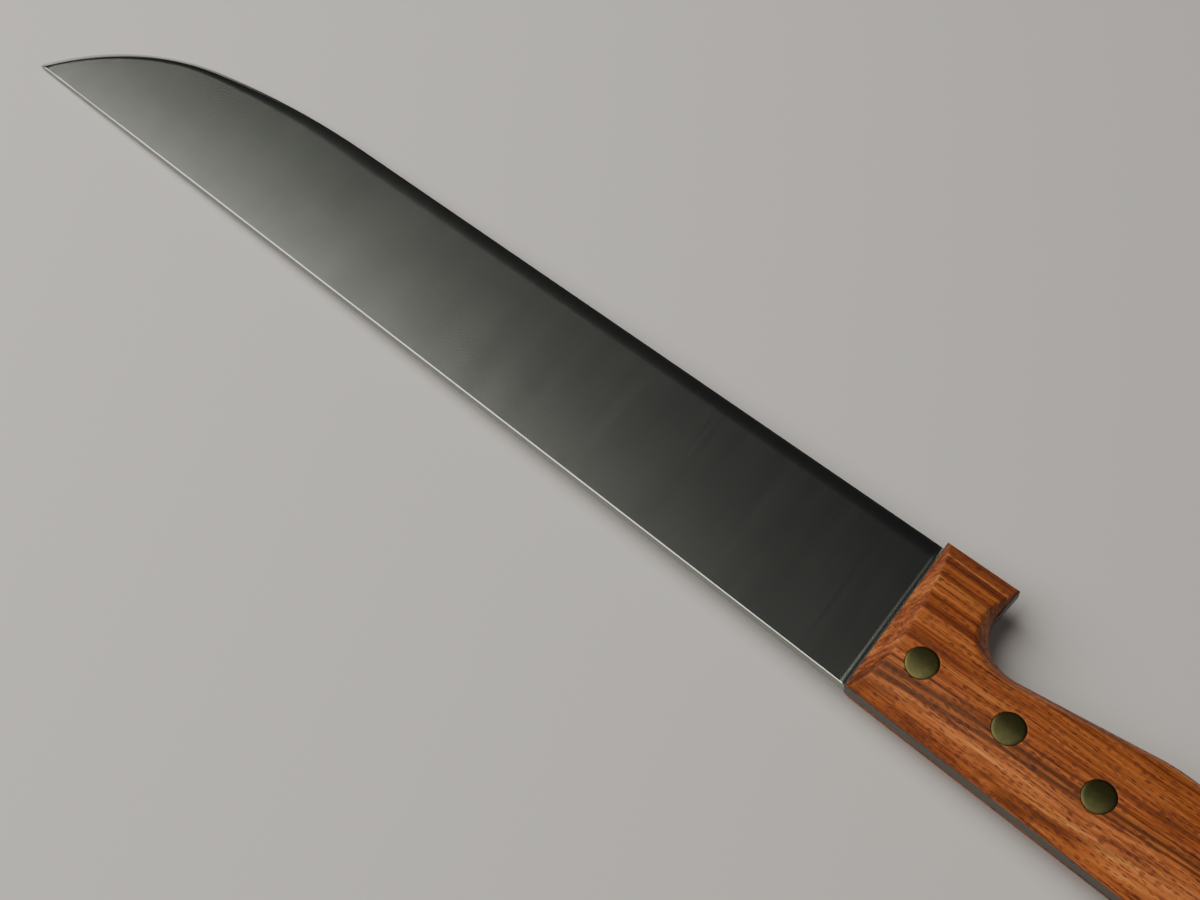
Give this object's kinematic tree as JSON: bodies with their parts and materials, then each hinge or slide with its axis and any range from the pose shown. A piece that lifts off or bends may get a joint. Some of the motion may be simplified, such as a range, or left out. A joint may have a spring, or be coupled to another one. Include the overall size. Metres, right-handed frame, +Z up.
{
  "type": "kitchen knife",
  "caption": "Long straight-backed bread and slicing knife with a plain edge, a full tang, wooden scales with a finger hook, and flush brass rivets.",
  "frame": {"origin": "centre of the knife's box on the plane that it lies on", "axes": "+X to the point of the blade, +Y to the spine, +Z up out of the blade's side"},
  "size_m": [0.412, 0.0464, 0.0184],
  "materials": {
    "steel": "fine lengthwise satin grind, with a polished edge and spine",
    "wood": "oiled red-brown hardwood with dark stripes and open pores",
    "brass": "sanded flush and dulled, olive toned"
  },
  "bodies": {
    "root": {"blade": "steel", "top_scale": "wood", "bottom_scale": "wood", "rivet_pin_1": "brass", "rivet_pin_2": "brass", "rivet_pin_3": "brass", "rivet_pin_4": "brass", "rivet_tube_1": "brass", "rivet_tube_2": "brass", "rivet_tube_3": "brass", "rivet_tube_4": "brass"}
  },
  "joints": []
}
